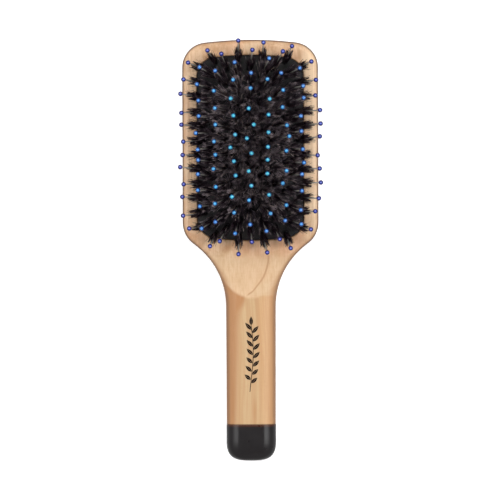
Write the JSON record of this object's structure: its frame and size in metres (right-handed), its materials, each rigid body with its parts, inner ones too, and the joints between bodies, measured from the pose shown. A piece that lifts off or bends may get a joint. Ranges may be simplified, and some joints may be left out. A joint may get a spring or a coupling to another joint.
{
  "type": "cushioned paddle hairbrush",
  "caption": "Wooden paddle hairbrush with a domed air cushion, ball-tipped pins set in bristle tufts, a smooth handle and a moulded end cap.",
  "frame": {"origin": "on the flat back face of the head, straight under the centre of the cushion", "axes": "+Z from the back face towards the bristle tips, +Y from the handle towards the head's end, +X to the right seen from the bristle side"},
  "size_m": [0.0803, 0.2349, 0.0468],
  "materials": {
    "beech": "satin",
    "cap_plastic": "gloss",
    "cushion_rubber": "matte",
    "bristle": "matte",
    "pin_nylon": "satin",
    "ball_nylon": "gloss",
    "anchor_nylon": "matte"
  },
  "bodies": {
    "paddle": {"paddle_body": "beech", "end_cap": "cap_plastic", "cushion_membrane": "cushion_rubber"},
    "edge_bristles": {"tufts_edge": "bristle", "pins_edge": "pin_nylon", "ball_tips_edge": "ball_nylon", "anchors_edge": "anchor_nylon"},
    "outer_bristles": {"tufts_outer": "bristle", "pins_outer": "pin_nylon", "ball_tips_outer": "ball_nylon", "anchors_outer": "anchor_nylon"},
    "middle_bristles": {"tufts_middle": "bristle", "pins_middle": "pin_nylon", "ball_tips_middle": "ball_nylon", "anchors_middle": "anchor_nylon"},
    "inner_bristles": {"tufts_inner": "bristle", "pins_inner": "pin_nylon", "ball_tips_inner": "ball_nylon", "anchors_inner": "anchor_nylon"},
    "core_bristles": {"tufts_core": "bristle", "pins_core": "pin_nylon", "ball_tips_core": "ball_nylon", "anchors_core": "anchor_nylon"}
  },
  "joints": [
    {"name": "cushion_press", "type": "slide", "parent": "paddle", "child": "core_bristles", "axis": [0, 0, -1], "range_m": [0, 0.004], "stiffness_N_per_m": 3000, "deforming": ["cushion_membrane"]},
    {"name": "inner_press", "type": "slide", "parent": "paddle", "child": "inner_bristles", "axis": [0, 0, -1], "range_m": [0, 0.00362]},
    {"name": "middle_press", "type": "slide", "parent": "paddle", "child": "middle_bristles", "axis": [0, 0, -1], "range_m": [0, 0.00298]},
    {"name": "outer_press", "type": "slide", "parent": "paddle", "child": "outer_bristles", "axis": [0, 0, -1], "range_m": [0, 0.0019]},
    {"name": "edge_press", "type": "slide", "parent": "paddle", "child": "edge_bristles", "axis": [0, 0, -1], "range_m": [0, 0.0005]}
  ],
  "couplings": [
    {"joint": "inner_press", "follows": "cushion_press", "ratio": 0.9},
    {"joint": "middle_press", "follows": "cushion_press", "ratio": 0.74},
    {"joint": "outer_press", "follows": "cushion_press", "ratio": 0.47},
    {"joint": "edge_press", "follows": "cushion_press", "ratio": 0.12}
  ]
}
